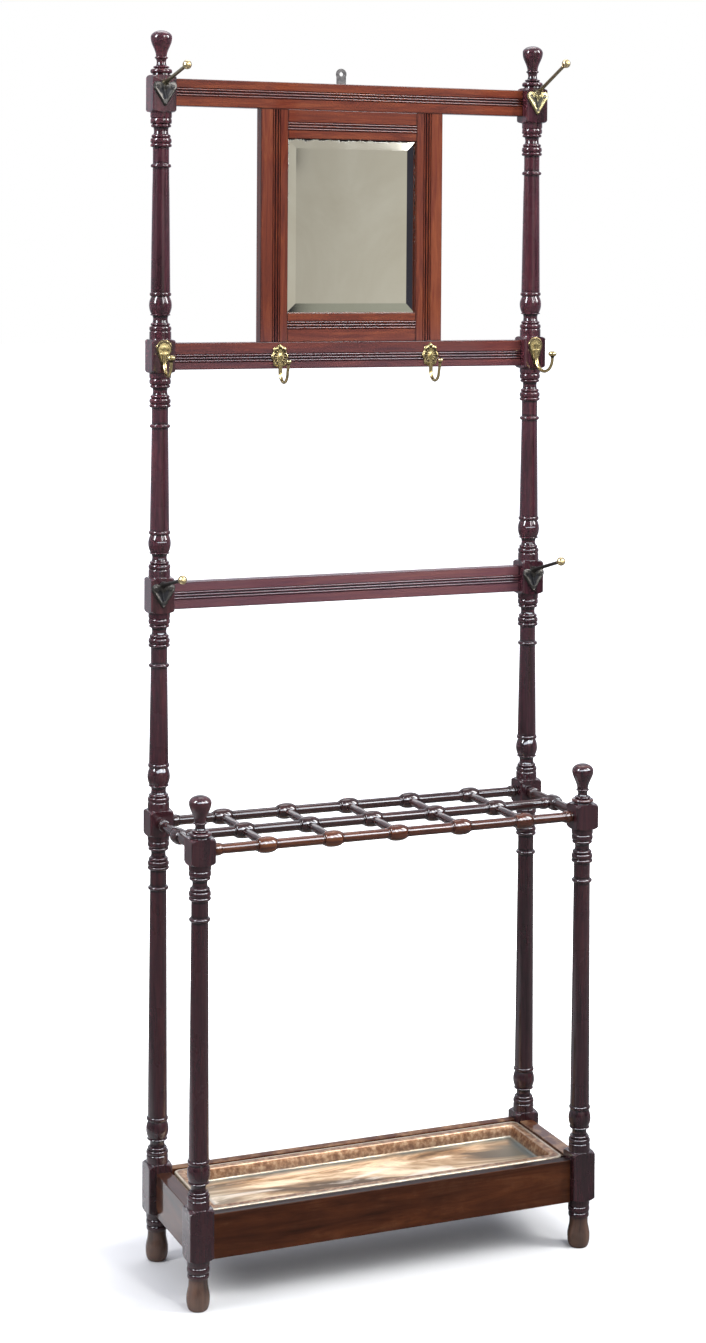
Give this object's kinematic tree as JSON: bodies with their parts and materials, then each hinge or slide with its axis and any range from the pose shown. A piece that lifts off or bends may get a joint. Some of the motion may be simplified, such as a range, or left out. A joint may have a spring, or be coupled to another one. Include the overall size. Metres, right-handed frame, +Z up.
{
  "type": "hall tree",
  "caption": "Tall turned-wood hall tree with a bevelled mirror in a reeded frame, hat pegs, coat hooks, a turned stick grid and a lift-out drip tray.",
  "frame": {"origin": "centre of the footprint, on the floor", "axes": "+Z up, +X to the viewer's right, -Y towards the viewer (front)"},
  "size_m": [0.726, 0.253, 2.055],
  "materials": {
    "post_mahogany": "dark polished mahogany, turned, glossy wax over old stain",
    "rail_mahogany": "reddish polished mahogany, flat sawn, satin",
    "base_mahogany": "brown mahogany, worn on the edges, satin",
    "bearer_wood": "plain sawn wood, matte",
    "back_board": "thin plain board, matte",
    "mirror_glass": "old silvered glass with a wide bevel, a little foxed at the edges",
    "steel_fixings": "dull grey steel, slightly tarnished",
    "dark_iron": "dark cast iron with worn, brassy high spots",
    "ball_brass": "polished brass",
    "hook_brass": "old brass with dark patina in the hollows",
    "tray_copper": "old copper-coloured sheet, cloudy and streaked, satin"
  },
  "bodies": {
    "root": {"rear_post_left": "post_mahogany", "rear_post_right": "post_mahogany", "front_post_left": "post_mahogany", "front_post_right": "post_mahogany", "rear_finial_left": "post_mahogany", "rear_finial_right": "post_mahogany", "front_finial_left": "post_mahogany", "front_finial_right": "post_mahogany", "top_rail": "rail_mahogany", "hook_rail": "rail_mahogany", "lower_rail": "rail_mahogany", "mirror_stile_left": "rail_mahogany", "mirror_stile_right": "rail_mahogany", "mirror_frame_top": "rail_mahogany", "mirror_frame_bottom": "rail_mahogany", "mirror_glass": "mirror_glass", "mirror_back_board": "back_board", "back_board_brads": "steel_fixings", "hanger_plate": "steel_fixings", "hanger_screws": "steel_fixings", "hat_peg_top_left": "dark_iron", "hat_peg_top_right": "dark_iron", "hat_peg_low_left": "dark_iron", "hat_peg_low_right": "dark_iron", "peg_ball_top_left": "ball_brass", "peg_ball_top_right": "ball_brass", "peg_ball_low_left": "ball_brass", "peg_ball_low_right": "ball_brass", "hat_peg_screws": "steel_fixings", "block_hook_left": "hook_brass", "block_hook_right": "hook_brass", "rail_hook_left": "hook_brass", "rail_hook_right": "hook_brass", "coat_hook_screws": "hook_brass", "grid_bar_back": "post_mahogany", "grid_bar_middle": "post_mahogany", "grid_bar_front": "post_mahogany", "grid_side_left": "post_mahogany", "grid_side_right": "post_mahogany", "spindle_back_1": "post_mahogany", "spindle_back_2": "post_mahogany", "spindle_back_3": "post_mahogany", "spindle_back_4": "post_mahogany", "spindle_back_5": "post_mahogany", "spindle_front_1": "post_mahogany", "spindle_front_2": "post_mahogany", "spindle_front_3": "post_mahogany", "spindle_front_4": "post_mahogany", "spindle_front_5": "post_mahogany", "apron_front": "base_mahogany", "apron_rear": "base_mahogany", "apron_left": "base_mahogany", "apron_right": "base_mahogany", "bearer_front": "bearer_wood", "bearer_rear": "bearer_wood", "bearer_left": "bearer_wood", "bearer_right": "bearer_wood", "bearer_screws": "steel_fixings"},
    "tray": {"drip_tray": "tray_copper"}
  },
  "joints": [
    {"name": "tray_lift", "type": "slide", "parent": "root", "child": "tray", "axis": [0, 0, 1], "range_m": [0, 0.12]}
  ]
}
